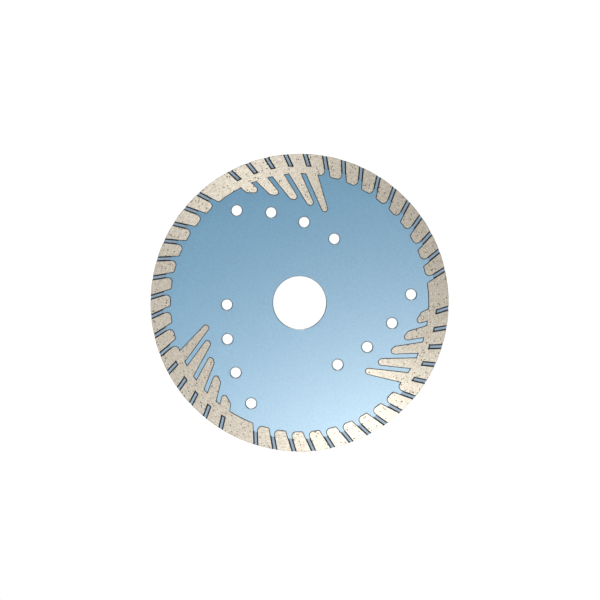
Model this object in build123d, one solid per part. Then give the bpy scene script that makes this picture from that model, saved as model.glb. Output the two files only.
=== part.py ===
"""Turbo diamond blade, 125 mm, with three groups of protective teeth.

The blade stands on its edge: it spins about the Y axis, its front face looks towards -Y, +Z is up,
and the origin is the centre of the bore at half the core's thickness.

Every shape is first drawn lying flat, with its front face up: flat x is X, flat y is Z and flat z
is -Y. stand_up() then turns the finished piece onto its edge. Angles are anticlockwise from the
flat x axis, as the front face is seen.
"""
from build123d import *
from build123d.topology import SkipClean
import os
from math import acos, cos, degrees, hypot, radians, sin, sqrt
from random import Random

# --- Sizes in millimetres, angles in degrees ---
BLADE_DIAMETER = 125.0
BORE_DIAMETER = 22.23          # the standard arbor of a 125 mm angle grinder
CORE_THICKNESS = 1.6
RIM_THICKNESS = 2.4
RIM_HEIGHT = 8.2               # the ground band, measured along a radius
RIM_OVERLAP = 2.8              # how far the band laps onto the core's two faces
CLAMP_DIAMETER = 42.0          # the ring that the grinder's flanges press on

SECTOR_COUNT = 3               # the whole pattern repeats this many times
PITCHES_PER_SECTOR = 16        # groove places in one sector
GROOVE_TANGENT_RADIUS = 20.5   # each groove runs tangent to a circle this large about the axis
FIRST_GROOVE_ANGLE = 77.1      # direction from the axis to the first groove's tangent point
GROOVE_WIDTH = 2.15            # across the mouth
GROOVE_FLOOR_WIDTH = 0.95
GROOVE_DEPTH = 0.75
LONG_LAND_START = 2            # the long land lies between this groove of its sector
LONG_LAND_END = 9              # and this one
SKIPPED_GROOVE = 3             # no groove here, which leaves a land twice as wide
SHARP_CORNER_RADIUS = 0.5      # a land's inner corner on its anticlockwise side
ROUND_CORNER_RADIUS = 1.6      # and on its clockwise side
RIM_EDGE_CHAMFER = 0.15

TEETH_PER_GROUP = 5
GAP_TANGENT_RADIUS = 23.3      # the gaps between teeth run tangent to a circle this large
FIRST_GAP_ANGLE = 53.8         # direction from the axis to the first gap's tangent point
GAP_WIDTH = 2.16
TOOTH_CORNER_RADIUS = 1.1
SWEEP_CENTRE_RADIUS = 34.7     # teeth and holes follow arcs about a point this far off the axis
SWEEP_CENTRE_ANGLE = 228.5
TOOTH_TIP_SWEEP = 72.35        # radius of the arc that the tooth tips end on
HOLE_SWEEP = 64.8              # radius of the arc through the hole centres

HOLES_PER_GROUP = 4
HOLE_DIAMETER = 4.3
FIRST_HOLE_ANGLE = 93.0        # seen from the sweep centre
HOLE_STEP_ANGLE = 12.8
HOLE_CHAMFER = 0.4             # around every hole, on both faces
BORE_CHAMFER = 0.3             # around the bore, on both faces

CRYSTAL_SIZE = 0.42            # a 40 mesh diamond, corner to corner
CRYSTAL_SIZE_SPREAD = 0.15     # as a share of the size
CRYSTAL_SINK = 0.3             # how deep a crystal's centre lies, as a share of its size
CRYSTAL_SPACING = 1.1          # the least distance between two crystals' centres
CRYSTAL_MARGIN = 0.35          # and from a crystal's centre to the edge of the ground face
LAND_CRYSTAL_COUNT = 130       # exposed crystals on the lands of one face
TOOTH_CRYSTAL_COUNT = 24       # and on the teeth of one face
EDGE_CRYSTAL_COUNT = 60        # and around the cutting edge
EDGE_CRYSTAL_STRAY = 0.3       # how far these stray from even places, as a share of their step
CRYSTAL_SEED = 12

# --- Sizes that follow from them ---
BLADE_RADIUS = BLADE_DIAMETER / 2
RIM_INNER_RADIUS = BLADE_RADIUS - RIM_HEIGHT
CORE_RADIUS = RIM_INNER_RADIUS + RIM_OVERLAP
CORE_FACE = CORE_THICKNESS / 2
RIM_FACE = RIM_THICKNESS / 2
GROOVE_FLOOR = RIM_FACE - GROOVE_DEPTH
SECTOR_ANGLE = 360 / SECTOR_COUNT
PITCH_ANGLE = SECTOR_ANGLE / PITCHES_PER_SECTOR
WALL_LEAN = (GROOVE_WIDTH - GROOVE_FLOOR_WIDTH) / 2 / GROOVE_DEPTH   # sideways run per mm of depth
WALL_DRAFT_ANGLE = degrees(acos(1 / sqrt(1 + WALL_LEAN ** 2)))
SWEEP_CENTRE = (
    SWEEP_CENTRE_RADIUS * cos(radians(SWEEP_CENTRE_ANGLE)),
    SWEEP_CENTRE_RADIUS * sin(radians(SWEEP_CENTRE_ANGLE)),
)
INNERMOST_TIP_RADIUS = TOOTH_TIP_SWEEP - SWEEP_CENTRE_RADIUS   # no tooth comes nearer the axis
TOOTH_GROUP_SPAN = (0, 180)    # the first group lies between these two directions
SPARE = 1.5                    # how far a cutter or a raw blank runs past what it trims


def polar(radius, angle):
    """The flat point at this distance and direction from the axis."""
    return (radius * cos(radians(angle)), radius * sin(radians(angle)))


def tangent_point(foot_angle, offset, radius):
    """A point this far from the axis on the straight line that passes the axis at offset."""
    along = sqrt(radius ** 2 - offset ** 2)
    angle = foot_angle + degrees(acos(offset / radius))
    return polar(hypot(offset, along), angle)


def groove_angle(place):
    """Direction of a groove's tangent point. Places count clockwise."""
    return FIRST_GROOVE_ANGLE - PITCH_ANGLE * place


def arc_between(radius, start, end):
    """The short arc about the axis between two points that both lie at this radius."""
    middle = (Vector(*start) + Vector(*end)).normalized() * radius
    return ThreePointArc(start, middle, end)


def land_outline(first_groove, last_groove):
    """The ground face of one land, from one groove's mouth clockwise to another's."""
    outer = BLADE_RADIUS + SPARE
    near = GROOVE_TANGENT_RADIUS + GROOVE_WIDTH / 2
    far = GROOVE_TANGENT_RADIUS - GROOVE_WIDTH / 2
    start_angle = groove_angle(first_groove)
    end_angle = groove_angle(last_groove)
    inner_start = tangent_point(start_angle, near, RIM_INNER_RADIUS)
    outer_start = tangent_point(start_angle, near, outer)
    outer_end = tangent_point(end_angle, far, outer)
    inner_end = tangent_point(end_angle, far, RIM_INNER_RADIUS)
    outline = make_face([
        Line(inner_start, outer_start),
        arc_between(outer, outer_start, outer_end),
        Line(outer_end, inner_end),
        arc_between(RIM_INNER_RADIUS, inner_end, inner_start),
    ])
    outline = round_corner(outline, inner_start, SHARP_CORNER_RADIUS)
    return round_corner(outline, inner_end, ROUND_CORNER_RADIUS)


def round_corner(outline, corner, radius):
    """Round the corner of a flat outline that lies at this point."""
    nearest = outline.vertices().sort_by_distance(corner)[0]
    return fillet(nearest, radius)


def raise_pad(outline, foot):
    """A pad with this outline on the ground face and drafted walls that widen down to foot."""
    top = Pos(0, 0, RIM_FACE) * outline
    return extrude(top, amount=foot - RIM_FACE, taper=-WALL_DRAFT_ANGLE)


def turn(shape, angle):
    """Turn a flat piece about the blade's axis."""
    return Rot(0, 0, angle) * shape


def disc(radius, half_thickness):
    """A plain round disc centred on the origin."""
    return Cylinder(radius, 2 * half_thickness)


def blind_groove(place):
    """The cutter for a groove that runs in from the blade's edge and stops short of the core.

    Its inner end leans as much as its sides do.
    """
    mouth = RIM_FACE + SPARE
    foot = GROOVE_FLOOR - SPARE
    stop = Cone(
        CORE_RADIUS + WALL_LEAN * (RIM_FACE - foot),
        CORE_RADIUS + WALL_LEAN * (RIM_FACE - mouth),
        mouth - foot,
        align=(Align.CENTER, Align.CENTER, Align.MIN),
    )
    half_floor = GROOVE_FLOOR_WIDTH / 2
    half_mouth = half_floor + WALL_LEAN * (mouth - GROOVE_FLOOR)
    middle = GROOVE_TANGENT_RADIUS
    section = make_face(Polyline(
        (middle - half_floor, 0, GROOVE_FLOOR),
        (middle + half_floor, 0, GROOVE_FLOOR),
        (middle + half_mouth, 0, mouth),
        (middle - half_mouth, 0, mouth),
        close=True,
    ))
    bar = extrude(section, amount=BLADE_RADIUS + SPARE, dir=(0, 1, 0))
    return turn(bar, groove_angle(place)) - Pos(0, 0, foot) * stop


def sector_lands():
    """The raised lands of one sector of one face, front side up."""
    long_land = raise_pad(land_outline(LONG_LAND_START, LONG_LAND_END), GROOVE_FLOOR)
    for place in range(SKIPPED_GROOVE + 1, LONG_LAND_END):
        long_land -= blind_groove(place)
    plain_land = raise_pad(land_outline(0, 1), GROOVE_FLOOR)
    last_place = LONG_LAND_START + PITCHES_PER_SECTOR
    plain_lands = [turn(plain_land, -PITCH_ANGLE * place) for place in range(LONG_LAND_END, last_place)]
    return [long_land] + plain_lands


def face_lands():
    """The raised lands of the whole front face."""
    one_sector = sector_lands()
    return [turn(land, -SECTOR_ANGLE * sector) for sector in range(SECTOR_COUNT) for land in one_sector]


def make_rim(crystals):
    """The sintered rim: a web around the core's edge with lands on both faces.

    The back face has the mirror image of the front's lands, turned by half a pitch, so that a
    groove on one side lies behind a land on the other.
    """
    front = face_lands()
    back = [to_back(land) for land in front]
    web = disc(BLADE_RADIUS + SPARE, GROOVE_FLOOR)
    envelope = chamfer(disc(BLADE_RADIUS, RIM_FACE).edges(), RIM_EDGE_CHAMFER)
    plain_rim = (web + front + back) & envelope - disc(CORE_RADIUS, CORE_FACE)
    return plain_rim - crystals


def tooth_outline(number):
    """The ground face of one tooth, drawn long at its root."""
    root = RIM_INNER_RADIUS + SPARE
    tip = INNERMOST_TIP_RADIUS - SPARE
    near = GAP_TANGENT_RADIUS + GAP_WIDTH / 2
    far = GAP_TANGENT_RADIUS - GAP_WIDTH / 2
    start_angle = FIRST_GAP_ANGLE - PITCH_ANGLE * number
    end_angle = start_angle - PITCH_ANGLE
    blank = make_face(Polyline(
        tangent_point(start_angle, near, tip),
        tangent_point(start_angle, near, root),
        tangent_point(end_angle, far, root),
        tangent_point(end_angle, far, tip),
        close=True,
    ))
    outline = blank - Pos(*SWEEP_CENTRE) * Circle(TOOTH_TIP_SWEEP)
    tip_corners = outline.vertices().sort_by(lambda corner: hypot(corner.X, corner.Y))[:2]
    return fillet(tip_corners, TOOTH_CORNER_RADIUS)


def make_teeth():
    """The five teeth of one group on the front face, each standing on the core."""
    long_land = raise_pad(land_outline(LONG_LAND_START, LONG_LAND_END), GROOVE_FLOOR)
    return [
        raise_pad(tooth_outline(number), CORE_FACE) - long_land
        for number in range(TEETH_PER_GROUP)
    ]


def through_hole(diameter, edge):
    """The cutter for a round hole through the core, with both rims chamfered by this much."""
    drill = Cylinder(diameter / 2, CORE_THICKNESS)
    flare = Cone(diameter / 2, diameter / 2 + edge, edge)
    top = Pos(0, 0, CORE_FACE - edge / 2) * flare
    return drill + top + mirror(top, Plane.XY)


def make_core():
    """The steel core: a flat disc with its bore and the sweeping rows of holes.

    Each face is split along a circle, so that the ring under the grinder's flange is its own face.
    """
    holes = []
    for sector in range(SECTOR_COUNT):
        for number in range(HOLES_PER_GROUP):
            x, y = polar(HOLE_SWEEP, FIRST_HOLE_ANGLE - HOLE_STEP_ANGLE * number)
            place = Pos(SWEEP_CENTRE[0] + x, SWEEP_CENTRE[1] + y, 0)
            holes.append(turn(place * through_hole(HOLE_DIAMETER, HOLE_CHAMFER), -SECTOR_ANGLE * sector))
    clamp_zone = disc(CLAMP_DIAMETER / 2, CORE_FACE)
    outer_zone = disc(CORE_RADIUS, CORE_FACE) - clamp_zone - holes
    with SkipClean():
        return outer_zone + (clamp_zone - through_hole(BORE_DIAMETER, BORE_CHAMFER))


def offset_from_line(x, y, foot_angle, line_radius):
    """How far a point lies outside the straight line with this tangent point."""
    return x * cos(radians(foot_angle)) + y * sin(radians(foot_angle)) - line_radius


def on_land(x, y):
    """Whether a crystal fits on the front face's lands here."""
    radius = hypot(x, y)
    if not RIM_INNER_RADIUS + CRYSTAL_MARGIN < radius < BLADE_RADIUS - CRYSTAL_MARGIN:
        return False
    for place in range(SECTOR_COUNT * PITCHES_PER_SECTOR):
        kind = place % PITCHES_PER_SECTOR
        blind = SKIPPED_GROOVE < kind < LONG_LAND_END
        if kind == SKIPPED_GROOVE or (blind and radius < CORE_RADIUS - CRYSTAL_MARGIN):
            continue
        angle = groove_angle(place)
        ahead = y * cos(radians(angle)) - x * sin(radians(angle)) > 0
        offset = offset_from_line(x, y, angle, GROOVE_TANGENT_RADIUS)
        if ahead and abs(offset) < GROOVE_WIDTH / 2 + CRYSTAL_MARGIN:
            return False
    return True


def on_tooth(x, y):
    """Whether a crystal fits on one of the first sector's teeth here."""
    from_sweep = hypot(x - SWEEP_CENTRE[0], y - SWEEP_CENTRE[1])
    if from_sweep < TOOTH_TIP_SWEEP + 2 * CRYSTAL_MARGIN or hypot(x, y) > RIM_INNER_RADIUS - CRYSTAL_MARGIN:
        return False
    clear = GAP_WIDTH / 2 + CRYSTAL_MARGIN
    for number in range(TEETH_PER_GROUP):
        start_angle = FIRST_GAP_ANGLE - PITCH_ANGLE * number
        past_start = offset_from_line(x, y, start_angle, GAP_TANGENT_RADIUS) > clear
        before_end = offset_from_line(x, y, start_angle - PITCH_ANGLE, GAP_TANGENT_RADIUS) < -clear
        if past_start and before_end:
            return True
    return False


def scatter(chance, count, fits, inner, outer, start_angle, end_angle):
    """Random places between two radii and two angles, spaced out, where fits(x, y) is true."""
    places = []
    while len(places) < count:
        x, y = polar(sqrt(chance.uniform(inner ** 2, outer ** 2)), chance.uniform(start_angle, end_angle))
        spaced = all(hypot(x - other[0], y - other[1]) > CRYSTAL_SPACING for other in places)
        if spaced and fits(x, y):
            places.append((x, y))
    return places


def make_crystal():
    """A diamond crystal one millimetre across: six square faces and eight triangular ones."""
    reach = 1 / sqrt(8)
    faces = []
    for sign in (-1, 1):
        for turned in (Rot(0, 0, 0), Rot(90, 0, 0), Rot(0, 90, 0)):
            ring = [(reach, 0), (0, reach), (-reach, 0), (0, -reach)]
            faces.append(turned * Face(Wire.make_polygon([(x, y, sign * reach) for x, y in ring])))
    for sx in (-1, 1):
        for sy in (-1, 1):
            for sz in (-1, 1):
                corners = [(sx, sy, 0), (sx, 0, sz), (0, sy, sz)]
                faces.append(Face(Wire.make_polygon([Vector(*corner) * reach for corner in corners])))
    return Solid(Shell(faces))


def random_crystal(chance, crystal):
    """A crystal of random size and attitude, and how deep its centre lies below the surface."""
    size = CRYSTAL_SIZE * chance.uniform(1 - CRYSTAL_SIZE_SPREAD, 1 + CRYSTAL_SIZE_SPREAD)
    attitude = Rot(chance.uniform(0, 90), chance.uniform(0, 90), chance.uniform(0, 90))
    return attitude * scale(crystal, size), size * CRYSTAL_SINK


def set_crystal(chance, crystal, x, y):
    """One crystal held in the front ground face at this place."""
    piece, depth = random_crystal(chance, crystal)
    return Pos(x, y, RIM_FACE - depth) * piece


def set_edge_crystal(chance, crystal, angle, height):
    """One crystal held in the cutting edge at this angle and height above mid-thickness."""
    piece, depth = random_crystal(chance, crystal)
    return turn(Pos(BLADE_RADIUS - depth, 0, height) * piece, angle)


def to_back(piece):
    """Turn a piece of the front rim into its twin on the back rim."""
    return turn(mirror(piece, Plane.XY), -PITCH_ANGLE / 2)


def face_crystals(chance, crystal):
    """The crystals on the front lands, and those on the front teeth of each sector."""
    land_places = scatter(chance, LAND_CRYSTAL_COUNT, on_land, RIM_INNER_RADIUS, BLADE_RADIUS, 0, 360)
    on_lands = [set_crystal(chance, crystal, x, y) for x, y in land_places]
    on_teeth = []
    for sector in range(SECTOR_COUNT):
        count = TOOTH_CRYSTAL_COUNT // SECTOR_COUNT
        places = scatter(chance, count, on_tooth, INNERMOST_TIP_RADIUS, RIM_INNER_RADIUS, *TOOTH_GROUP_SPAN)
        group = [set_crystal(chance, crystal, x, y) for x, y in places]
        on_teeth.append([turn(piece, -SECTOR_ANGLE * sector) for piece in group])
    return on_lands, on_teeth


def edge_crystals(chance, crystal):
    """The crystals around the cutting edge, clear of the grooves of both faces."""
    pieces = []
    step = 360 / EDGE_CRYSTAL_COUNT
    reach = BLADE_RADIUS - 2 * CRYSTAL_MARGIN
    for number in range(EDGE_CRYSTAL_COUNT):
        angle = step * (number + chance.uniform(-EDGE_CRYSTAL_STRAY, EDGE_CRYSTAL_STRAY))
        height = chance.uniform(-1, 1) * (RIM_FACE - CRYSTAL_MARGIN - RIM_EDGE_CHAMFER)
        seen_angle = angle if height > 0 else angle + PITCH_ANGLE / 2
        if abs(height) > GROOVE_FLOOR - CRYSTAL_MARGIN and not on_land(*polar(reach, seen_angle)):
            height = chance.uniform(-1, 1) * (GROOVE_FLOOR - CRYSTAL_MARGIN)
        pieces.append(set_edge_crystal(chance, crystal, angle, height))
    return pieces


def stand_up(piece):
    """Turn a flat piece onto its edge, with its front face towards -Y."""
    return Rot(90, 0, 0) * piece


def write(name, pieces):
    """Stand a node's solids up and write them to its file."""
    export_step(stand_up(Compound(pieces)), f"parts/{name}.step")


def main():
    os.makedirs("parts", exist_ok=True)
    chance = Random(CRYSTAL_SEED)
    crystal = make_crystal()
    front_on_lands, front_on_teeth = face_crystals(chance, crystal)
    back_on_lands, back_on_teeth = face_crystals(chance, crystal)
    back_on_lands = [to_back(piece) for piece in back_on_lands]
    on_edge = edge_crystals(chance, crystal)

    write("steel_core", [make_core()])
    write("turbo_rim", [make_rim(front_on_lands + back_on_lands + on_edge)])
    plain_teeth = make_teeth()
    for sector in range(SECTOR_COUNT):
        turned = [turn(tooth, -SECTOR_ANGLE * sector) for tooth in plain_teeth]
        back_on_teeth[sector] = [mirror(piece, Plane.XY) for piece in back_on_teeth[sector]]
        write(f"front_teeth_{sector + 1}", [tooth - front_on_teeth[sector] for tooth in turned])
        flipped = [mirror(tooth, Plane.XY) for tooth in turned]
        write(f"back_teeth_{sector + 1}", [tooth - back_on_teeth[sector] for tooth in flipped])
    write("diamonds_front", front_on_lands + sum(front_on_teeth, []))
    write("diamonds_back", back_on_lands + sum(back_on_teeth, []))
    write("diamonds_edge", on_edge)


main()
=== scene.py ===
"""Looks for the turbo diamond blade: paint, ground metal bond, diamonds, studio light and camera."""

import math

import bmesh
import bpy
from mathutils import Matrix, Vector


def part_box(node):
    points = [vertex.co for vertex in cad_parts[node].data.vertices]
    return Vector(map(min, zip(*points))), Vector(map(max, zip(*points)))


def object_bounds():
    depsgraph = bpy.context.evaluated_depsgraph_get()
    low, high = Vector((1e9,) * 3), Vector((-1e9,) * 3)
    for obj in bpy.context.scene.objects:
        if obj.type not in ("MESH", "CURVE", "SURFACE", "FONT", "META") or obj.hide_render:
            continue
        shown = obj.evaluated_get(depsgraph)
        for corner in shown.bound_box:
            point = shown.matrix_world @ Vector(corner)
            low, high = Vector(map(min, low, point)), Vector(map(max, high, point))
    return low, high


MM = 0.001

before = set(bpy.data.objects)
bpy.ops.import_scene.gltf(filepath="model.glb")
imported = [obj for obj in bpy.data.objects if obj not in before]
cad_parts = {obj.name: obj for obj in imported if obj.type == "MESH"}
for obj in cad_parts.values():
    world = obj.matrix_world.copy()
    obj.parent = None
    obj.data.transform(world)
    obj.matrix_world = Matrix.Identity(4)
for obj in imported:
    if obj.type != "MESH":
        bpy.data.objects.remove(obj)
cad_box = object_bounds()

# --- Sizes read from the frame, in metres ---
RIM_LOW, RIM_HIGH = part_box("turbo_rim")
BLADE_RADIUS = (RIM_HIGH[0] - RIM_LOW[0]) / 2
RIM_FACE = RIM_HIGH[1]
BLADE_CENTRE = Vector((0, 0, 0))

# --- The view ---
VIEW_WIDTH = 251.5 * MM        # how much of the blade's plane the picture takes in, side to side
CAMERA_LENS = 100.0            # in millimetres, on a 36 mm sensor
SENSOR_WIDTH = 36.0
CAMERA_ASIDE = 0.16 * MM       # the camera's place, measured from the spin axis
CAMERA_ABOVE = 1.14 * MM

# --- The studio, in metres and watts ---
LAMPS = (                      # name, place, width, power
    ("key_low_front", (0.13, -0.80, -0.27), 0.20, 3.1),
    ("side_front", (-0.60, -0.62, -0.02), 0.30, 0.8),
    ("back_key", (0.60, 0.62, -0.02), 0.30, 2.2),
    ("back_left", (-0.30, 0.75, 0.25), 0.30, 1.5),
    ("top", (0.0, 0.0, 0.9), 0.5, 4.5),
)
BACKDROP_STRENGTH = 1.05       # the white that the camera sees behind the blade
AMBIENT_STRENGTH = 0.16        # the soft light from all round that the blade receives
AMBIENT_BRIGHT_SIDE = (0.30, 0.0, -0.95)
AMBIENT_RANGE = (0.6, 1.2)     # its share on the far side and on the bright side
AMBIENT_BLEND = 0.35           # half the width of the change between them, as a cosine
FLOOR_RADIUS = 0.35
FLOOR_GAP = 0.05 * MM          # between the blade's lowest point and the floor
FLOOR_GLOW = 0.60
FLOOR_PATCH = 0.25             # size of the faint patches in the floor's tint
FLOOR_SIDES = 96               # straight sides that make up its round edge

# --- Colours, as linear red, green and blue ---
WHITE = (1.0, 1.0, 1.0)
FLOOR_TINTS = ((0.90, 0.90, 0.90), (0.93, 0.93, 0.93))
PAINT_BLUES = ((0.018, 0.182, 0.350), (0.062, 0.300, 0.515))
PAINT_SPECK = (0.070, 0.330, 0.570)
PAINT_CLOUD = (0.036, 0.240, 0.440)
# Painted shade: a darker blue on the holes' chamfers, near black on their walls.
CHAMFER_SHADE = (0.012, 0.060, 0.110)
HOLE_WALL_SHADE = (0.020, 0.028, 0.036)
PAINT_SHEEN = (0.95, 1.0, 0.98)
# Groove paint: near black on the walls is painted shade, pale grey-blue on the floors is painted light.
GROOVE_WALL_SHADE = ((0.006, 0.009, 0.013), (0.020, 0.032, 0.046))
GROOVE_FLOOR_LIGHT = ((0.230, 0.330, 0.430), (0.340, 0.450, 0.560))
BOND_POWDERS = ((0.48, 0.43, 0.34), (0.92, 0.86, 0.75))
BOND_MOTTLE = (0.60, 0.48, 0.35)
BOND_DUST = (0.88, 0.83, 0.75)
BOND_STREAK = (0.40, 0.335, 0.25)
BOND_SCRATCH = (0.36, 0.33, 0.28)
BOND_PIT = (0.080, 0.048, 0.026)
DIAMOND_BROWNS = ((0.030, 0.020, 0.010), (0.10, 0.075, 0.040))
DIAMOND_PALE = (0.22, 0.18, 0.10)

# --- How the finishes take light ---
PAINT_IOR = 2.8                # well above real paint's, to stand in for the metal flakes' sheen
DIAMOND_IOR = 2.42
BOND_METAL = 0.54              # the ground bond's share of metallic reflection
BOND_BRUSHED = 0.78            # how far its highlights are drawn out from the axis

# --- Where each finish begins and ends ---
GROUND_DEPTH = (0.10 * MM, 0.05 * MM)       # below the ground face, from all paint to all bond
EDGE_DEPTH = (0.14 * MM, 0.04 * MM)         # and below the cutting edge
GROOVE_FLOOR_LEVEL = (0.6 * MM, 0.7 * MM)   # a groove's floor is nearer the mid-plane than this
FLAT_FACING = (0.97, 0.995)                 # from a slanted wall to a face square to the axis
CHAMFER_FACING = (0.80, 0.95)               # from a hole's chamfer to a face
HOLE_WALL_FACING = (0.30, 0.50)             # from a hole's wall to its chamfer
STREAK_TURN = 0.012                         # metres of noise in one radian about the axis: the
SCRATCH_TURN = 0.0016                       # smaller it is, the longer the mark


# --- Material helpers ---

class Nodes:
    """A material's node tree, with short calls for the nodes that the materials share."""

    def __init__(self, name):
        self.material = bpy.data.materials.new(name)
        self.material.use_nodes = True
        self.tree = self.material.node_tree
        self.shader = self.tree.nodes["Principled BSDF"]
        self.place = self.add("ShaderNodeTexCoord").outputs["Object"]

    def add(self, kind, **settings):
        node = self.tree.nodes.new(kind)
        for key, value in settings.items():
            setattr(node, key, value)
        return node

    def link(self, source, target):
        """Feed a socket from another node's output, or give it a plain number."""
        if isinstance(source, (int, float)):
            target.default_value = source
        else:
            self.tree.links.new(source, target)

    def math(self, operation, first, second=0.0):
        node = self.add("ShaderNodeMath", operation=operation)
        for socket, value in zip(node.inputs, (first, second)):
            self.link(value, socket)
        return node.outputs[0]

    def split(self, vector):
        node = self.add("ShaderNodeSeparateXYZ")
        self.link(vector, node.inputs[0])
        return node.outputs

    def join(self, x, y, z):
        node = self.add("ShaderNodeCombineXYZ")
        for socket, value in zip(node.inputs, (x, y, z)):
            self.link(value, socket)
        return node.outputs[0]

    def polar(self):
        """Distance from the spin axis, angle about it, and distance from the blade's mid-plane."""
        x, y, z = self.split(self.place)
        across = self.math("ADD", self.math("MULTIPLY", x, x), self.math("MULTIPLY", z, z))
        return self.math("SQRT", across), self.math("ARCTAN2", z, x), self.math("ABSOLUTE", y)

    def outward(self):
        """The direction away from the spin axis, in the scene's own axes."""
        x, y, z = self.split(self.place)
        unit = self.add("ShaderNodeVectorMath", operation="NORMALIZE")
        self.link(self.join(x, 0.0, z), unit.inputs[0])
        turned = self.add("ShaderNodeVectorTransform", vector_type="VECTOR",
                          convert_from="OBJECT", convert_to="WORLD")
        self.link(unit.outputs["Vector"], turned.inputs["Vector"])
        return turned.outputs["Vector"]

    def facing(self):
        """How squarely the surface faces along the spin axis: 1 on the flat faces, 0 on the edge."""
        geometry = self.add("ShaderNodeNewGeometry")
        return self.math("ABSOLUTE", self.split(geometry.outputs["True Normal"])[1])

    def noise(self, size, detail=3.0, roughness=0.55, place=None):
        """Noise from 0 to 1 whose blobs are about this many metres across."""
        node = self.add("ShaderNodeTexNoise")
        self.link(place or self.place, node.inputs["Vector"])
        node.inputs["Scale"].default_value = 1 / size
        node.inputs["Detail"].default_value = detail
        node.inputs["Roughness"].default_value = roughness
        return node.outputs["Fac"]

    def cells(self, size):
        """Distance to the nearest of a scatter of points about this many metres apart."""
        node = self.add("ShaderNodeTexVoronoi", feature="F1")
        self.link(self.place, node.inputs["Vector"])
        node.inputs["Scale"].default_value = 1 / size
        return node.outputs["Distance"]

    def ramp(self, value, low, high, start=0.0, end=1.0):
        """start below low, end above high, and a smooth change between."""
        node = self.add("ShaderNodeMapRange", interpolation_type="SMOOTHSTEP")
        self.link(value, node.inputs["Value"])
        for key, number in (("From Min", low), ("From Max", high), ("To Min", start), ("To Max", end)):
            node.inputs[key].default_value = number
        return node.outputs["Result"]

    def mix(self, amount, first, second):
        """Blend two colours, each a tuple or another node's output."""
        node = self.add("ShaderNodeMix", data_type="RGBA")
        self.link(amount, node.inputs["Factor"])
        for socket, colour in ((node.inputs["A"], first), (node.inputs["B"], second)):
            if isinstance(colour, tuple):
                socket.default_value = (*colour, 1)
            else:
                self.link(colour, socket)
        return node.outputs["Result"]

    def bump(self, height, distance, strength, under=None):
        """A surface normal bent by a height, on top of another normal where one is given."""
        node = self.add("ShaderNodeBump")
        node.inputs["Strength"].default_value = strength
        node.inputs["Distance"].default_value = distance
        self.link(height, node.inputs["Height"])
        if under:
            self.link(under, node.inputs["Normal"])
        return node.outputs["Normal"]

    def set(self, **sockets):
        """Set the shader's own sockets. An underscore stands for a space in a socket's name."""
        for key, value in sockets.items():
            socket = self.shader.inputs[key.replace("_", " ")]
            if isinstance(value, tuple):
                socket.default_value = (*value, 1)
            else:
                self.link(value, socket)


# --- Materials ---

def painted_steel():
    """Blue paint with a fine grain over the steel core, with painted shade on the chamfers round the
    holes and near black painted shade on the holes' walls.
    """
    nodes = Nodes("blue_metallic_paint")
    flake = nodes.noise(0.34 * MM, detail=3, roughness=0.7)
    cloud = nodes.noise(9 * MM, detail=3)
    speck = nodes.noise(0.45 * MM, detail=3, roughness=0.7)
    ripple = nodes.noise(0.9 * MM, detail=2)

    blue = nodes.mix(nodes.ramp(flake, 0.38, 0.62), *PAINT_BLUES)
    blue = nodes.mix(nodes.ramp(speck, 0.35, 0.65, end=0.35), blue, PAINT_SPECK)
    blue = nodes.mix(nodes.ramp(cloud, 0.3, 0.7, end=0.22), blue, PAINT_CLOUD)
    facing = nodes.facing()
    # The holes' chamfers and walls take painted shade, not a colour of their own.
    chamfer = nodes.ramp(facing, *CHAMFER_FACING, start=1.0, end=0.0)
    wall = nodes.ramp(facing, *HOLE_WALL_FACING, start=1.0, end=0.0)
    blue = nodes.mix(chamfer, blue, CHAMFER_SHADE)
    colour = nodes.mix(wall, blue, HOLE_WALL_SHADE)

    grain = nodes.bump(flake, 0.016 * MM, 0.6)
    skin = nodes.bump(ripple, 0.02 * MM, 0.35, under=grain)
    rough = nodes.ramp(speck, 0.3, 0.7, start=0.36, end=0.44)
    nodes.set(Base_Color=colour, Metallic=0.0, Roughness=rough, Normal=skin, IOR=PAINT_IOR,
              Specular_Tint=PAINT_SHEEN)
    return nodes.material


def ground_area(nodes, facing, radius, depth):
    """1 where the rim has been ground bare, on its faces and its cutting edge, and 0 elsewhere."""
    paint_depth, bond_depth = GROUND_DEPTH
    flat = nodes.ramp(facing, *FLAT_FACING)
    proud = nodes.ramp(depth, RIM_FACE - paint_depth, RIM_FACE - bond_depth)
    paint_depth, bond_depth = EDGE_DEPTH
    on_edge = nodes.ramp(radius, BLADE_RADIUS - paint_depth, BLADE_RADIUS - bond_depth)
    return nodes.math("MAXIMUM", nodes.math("MULTIPLY", flat, proud), on_edge)


def groove_shade_and_light(nodes, facing, depth):
    """Paint left below the ground surface, in shaded and lit copies: near black on the walls as painted
    shade, pale grey-blue on the floors as painted light.
    """
    flat = nodes.ramp(facing, *FLAT_FACING)
    low = nodes.ramp(depth, *GROOVE_FLOOR_LEVEL, start=1.0, end=0.0)
    tone_patches = nodes.ramp(nodes.noise(0.5 * MM, detail=3), 0.3, 0.7)
    # Walls in painted shade, floors in painted light, each with random patches of tone.
    wall = nodes.mix(tone_patches, *GROOVE_WALL_SHADE)
    floor = nodes.mix(tone_patches, *GROOVE_FLOOR_LIGHT)
    return nodes.mix(nodes.math("MULTIPLY", flat, low), wall, floor)


def scattered_pits(nodes):
    """1 in small round pits that lie in loose clusters, where a crystal has been pulled out."""
    pits = nodes.ramp(nodes.cells(1.15 * MM), 0.18, 0.28, start=1.0, end=0.0)
    clusters = nodes.ramp(nodes.noise(1.9 * MM, detail=1), 0.46, 0.50)
    return nodes.math("MULTIPLY", pits, clusters)


def around_axis(nodes, radius, angle, depth, turn):
    """A place for noise that draws it out around the spin axis, as a grinding wheel's marks are."""
    return nodes.join(radius, nodes.math("MULTIPLY", angle, turn), depth)


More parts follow.
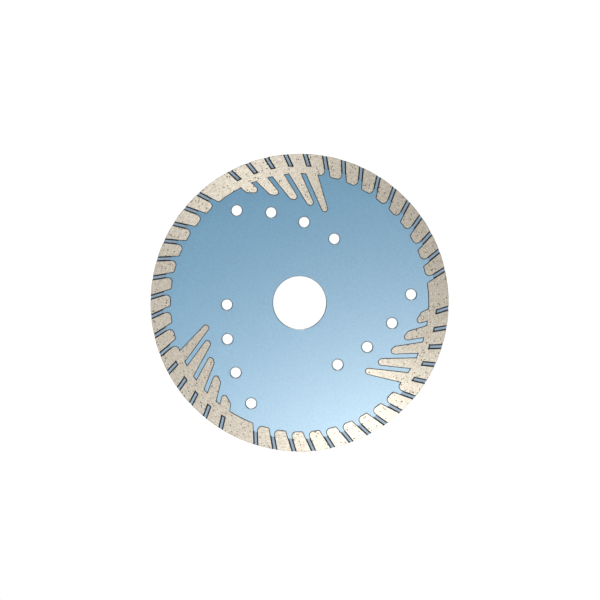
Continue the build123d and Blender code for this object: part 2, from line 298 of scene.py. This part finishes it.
def sintered_bond():
    """Ground metal bond on the faces and the cutting edge, with paint left everywhere below them, in
    painted shade on the walls and painted light on the groove floors.
    """
    nodes = Nodes("ground_metal_bond")
    radius, angle, depth = nodes.polar()
    facing = nodes.facing()
    ground = ground_area(nodes, facing, radius, depth)
    mottle = nodes.noise(1.1 * MM, detail=4, roughness=0.70)
    powder = nodes.noise(0.42 * MM, detail=3, roughness=0.75)
    dust = nodes.noise(0.12 * MM, detail=2)
    along = around_axis(nodes, radius, angle, depth, STREAK_TURN)
    streaks = nodes.noise(0.40 * MM, detail=3, roughness=0.65, place=along)
    along = around_axis(nodes, radius, angle, depth, SCRATCH_TURN)
    scratches = nodes.noise(0.07 * MM, detail=2, place=along)
    pits = scattered_pits(nodes)

    bond = nodes.mix(nodes.ramp(powder, 0.34, 0.66), *BOND_POWDERS)
    bond = nodes.mix(nodes.ramp(mottle, 0.42, 0.66, end=0.50), bond, BOND_MOTTLE)
    bond = nodes.mix(nodes.ramp(dust, 0.35, 0.7, end=0.3), bond, BOND_DUST)
    bond = nodes.mix(nodes.ramp(streaks, 0.46, 0.64, end=0.55), bond, BOND_STREAK)
    bond = nodes.mix(nodes.math("MULTIPLY", pits, 0.95), bond, BOND_PIT)
    bond = nodes.mix(nodes.ramp(scratches, 0.35, 0.65, end=0.22), bond, BOND_SCRATCH)
    # Below the ground faces: groove paint in painted shade and painted light.
    colour = nodes.mix(ground, groove_shade_and_light(nodes, facing, depth), bond)

    height = nodes.math("SUBTRACT", nodes.math("MULTIPLY", powder, 0.6), pits)
    skin = nodes.bump(height, 0.03 * MM, 0.5)
    skin = nodes.bump(scratches, 0.008 * MM, 0.5, under=skin)
    metal = nodes.ramp(ground, 0.0, 1.0, end=BOND_METAL)
    rough = nodes.ramp(powder, 0.3, 0.7, start=0.38, end=0.50)
    rough = nodes.math("ADD", rough, nodes.math("MULTIPLY", pits, 0.3))
    nodes.set(Base_Color=colour, Metallic=metal, Roughness=rough, Normal=skin, Anisotropic=BOND_BRUSHED,
              Tangent=nodes.outward())
    return nodes.material


def diamond():
    """Brown synthetic diamond, cloudy inside, with some crystals paler than others."""
    nodes = Nodes("synthetic_diamond")
    cloud = nodes.noise(0.12 * MM, detail=3)
    paler = nodes.ramp(nodes.noise(1.1 * MM, detail=0), 0.45, 0.62, end=0.6)
    colour = nodes.mix(nodes.ramp(cloud, 0.3, 0.7), *DIAMOND_BROWNS)
    colour = nodes.mix(paler, colour, DIAMOND_PALE)
    nodes.set(Base_Color=colour, Metallic=0.0, Roughness=nodes.ramp(cloud, 0.3, 0.7, 0.08, 0.22),
              IOR=DIAMOND_IOR, Coat_Weight=0.3, Coat_Roughness=0.05)
    return nodes.material


def floor_material():
    """Rough and near white, with a glow of its own that brings it close to the backdrop's white."""
    nodes = Nodes("pale_studio_floor")
    tint = nodes.mix(nodes.ramp(nodes.noise(FLOOR_PATCH), 0.3, 0.7), *FLOOR_TINTS)
    nodes.set(Base_Color=tint, Roughness=0.7, Emission_Color=WHITE, Emission_Strength=FLOOR_GLOW)
    return nodes.material


def dress(node, material):
    """Give a carried-over CAD node its material."""
    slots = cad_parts[node].data.materials
    slots.clear()
    slots.append(material)


def dress_blade():
    """Paint on the core, crystals for the diamonds, and bond on the rim and every tooth."""
    bond = sintered_bond()
    crystal = diamond()
    dress("steel_core", painted_steel())
    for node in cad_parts:
        if node.startswith("diamonds"):
            dress(node, crystal)
        elif node != "steel_core":
            dress(node, bond)


# --- Studio ---

def area_light(name, place, width, power):
    """A round lamp that faces the blade's centre."""
    data = bpy.data.lights.new(name, "AREA")
    data.shape = "DISK"
    data.size = width
    data.energy = power
    light = bpy.data.objects.new(name, data)
    bpy.context.collection.objects.link(light)
    light.location = place
    light.rotation_euler = (BLADE_CENTRE - Vector(place)).to_track_quat("-Z", "Y").to_euler()


def ambient_share(tree):
    """How strong the ambient light is in each direction: more from below and from the right."""
    coordinate = tree.nodes.new("ShaderNodeTexCoord")
    direction = tree.nodes.new("ShaderNodeVectorMath")
    direction.operation = "DOT_PRODUCT"
    direction.inputs[1].default_value = AMBIENT_BRIGHT_SIDE
    tree.links.new(coordinate.outputs["Generated"], direction.inputs[0])
    ramp = tree.nodes.new("ShaderNodeMapRange")
    ramp.interpolation_type = "SMOOTHSTEP"
    ramp.inputs["From Min"].default_value = -AMBIENT_BLEND
    ramp.inputs["From Max"].default_value = AMBIENT_BLEND
    ramp.inputs["To Min"].default_value = AMBIENT_RANGE[0]
    ramp.inputs["To Max"].default_value = AMBIENT_RANGE[1]
    tree.links.new(direction.outputs["Value"], ramp.inputs["Value"])
    return ramp.outputs["Result"]


def make_world():
    """White behind the blade, and a soft ambient light on it."""
    world = bpy.data.worlds.new("studio")
    bpy.context.scene.world = world
    world.use_nodes = True
    tree = world.node_tree
    tree.nodes.clear()
    seen = tree.nodes.new("ShaderNodeBackground")
    seen.inputs["Color"].default_value = (*WHITE, 1)
    seen.inputs["Strength"].default_value = BACKDROP_STRENGTH
    lit = tree.nodes.new("ShaderNodeBackground")
    lit.inputs["Strength"].default_value = AMBIENT_STRENGTH
    tree.links.new(ambient_share(tree), lit.inputs["Color"])
    path = tree.nodes.new("ShaderNodeLightPath")
    mix = tree.nodes.new("ShaderNodeMixShader")
    output = tree.nodes.new("ShaderNodeOutputWorld")
    tree.links.new(path.outputs["Is Camera Ray"], mix.inputs[0])
    tree.links.new(lit.outputs[0], mix.inputs[1])
    tree.links.new(seen.outputs[0], mix.inputs[2])
    tree.links.new(mix.outputs[0], output.inputs[0])


def make_floor():
    """A round pale floor under the blade. It casts no shadow, because the key lamp is below it."""
    mesh = bpy.data.meshes.new("studio_floor")
    shape = bmesh.new()
    bmesh.ops.create_circle(shape, cap_ends=True, segments=FLOOR_SIDES, radius=FLOOR_RADIUS)
    shape.to_mesh(mesh)
    shape.free()
    floor = bpy.data.objects.new("studio_floor", mesh)
    bpy.context.collection.objects.link(floor)
    floor.location = (0, 0, cad_box[0][2] - FLOOR_GAP)
    mesh.materials.append(floor_material())
    floor.visible_shadow = False


def make_camera():
    """A long lens square on to the blade's front face."""
    data = bpy.data.cameras.new("camera")
    data.lens = CAMERA_LENS
    data.sensor_width = SENSOR_WIDTH
    data.dof.use_dof = False
    camera = bpy.data.objects.new("camera", data)
    bpy.context.collection.objects.link(camera)
    distance = VIEW_WIDTH * CAMERA_LENS / SENSOR_WIDTH
    camera.location = (CAMERA_ASIDE, -RIM_FACE - distance, CAMERA_ABOVE)
    camera.rotation_euler = (math.radians(90), 0, 0)
    bpy.context.scene.camera = camera


make_camera()
make_world()
for lamp in LAMPS:
    area_light(*lamp)
make_floor()
dress_blade()
bpy.context.scene.view_settings.view_transform = "Standard"
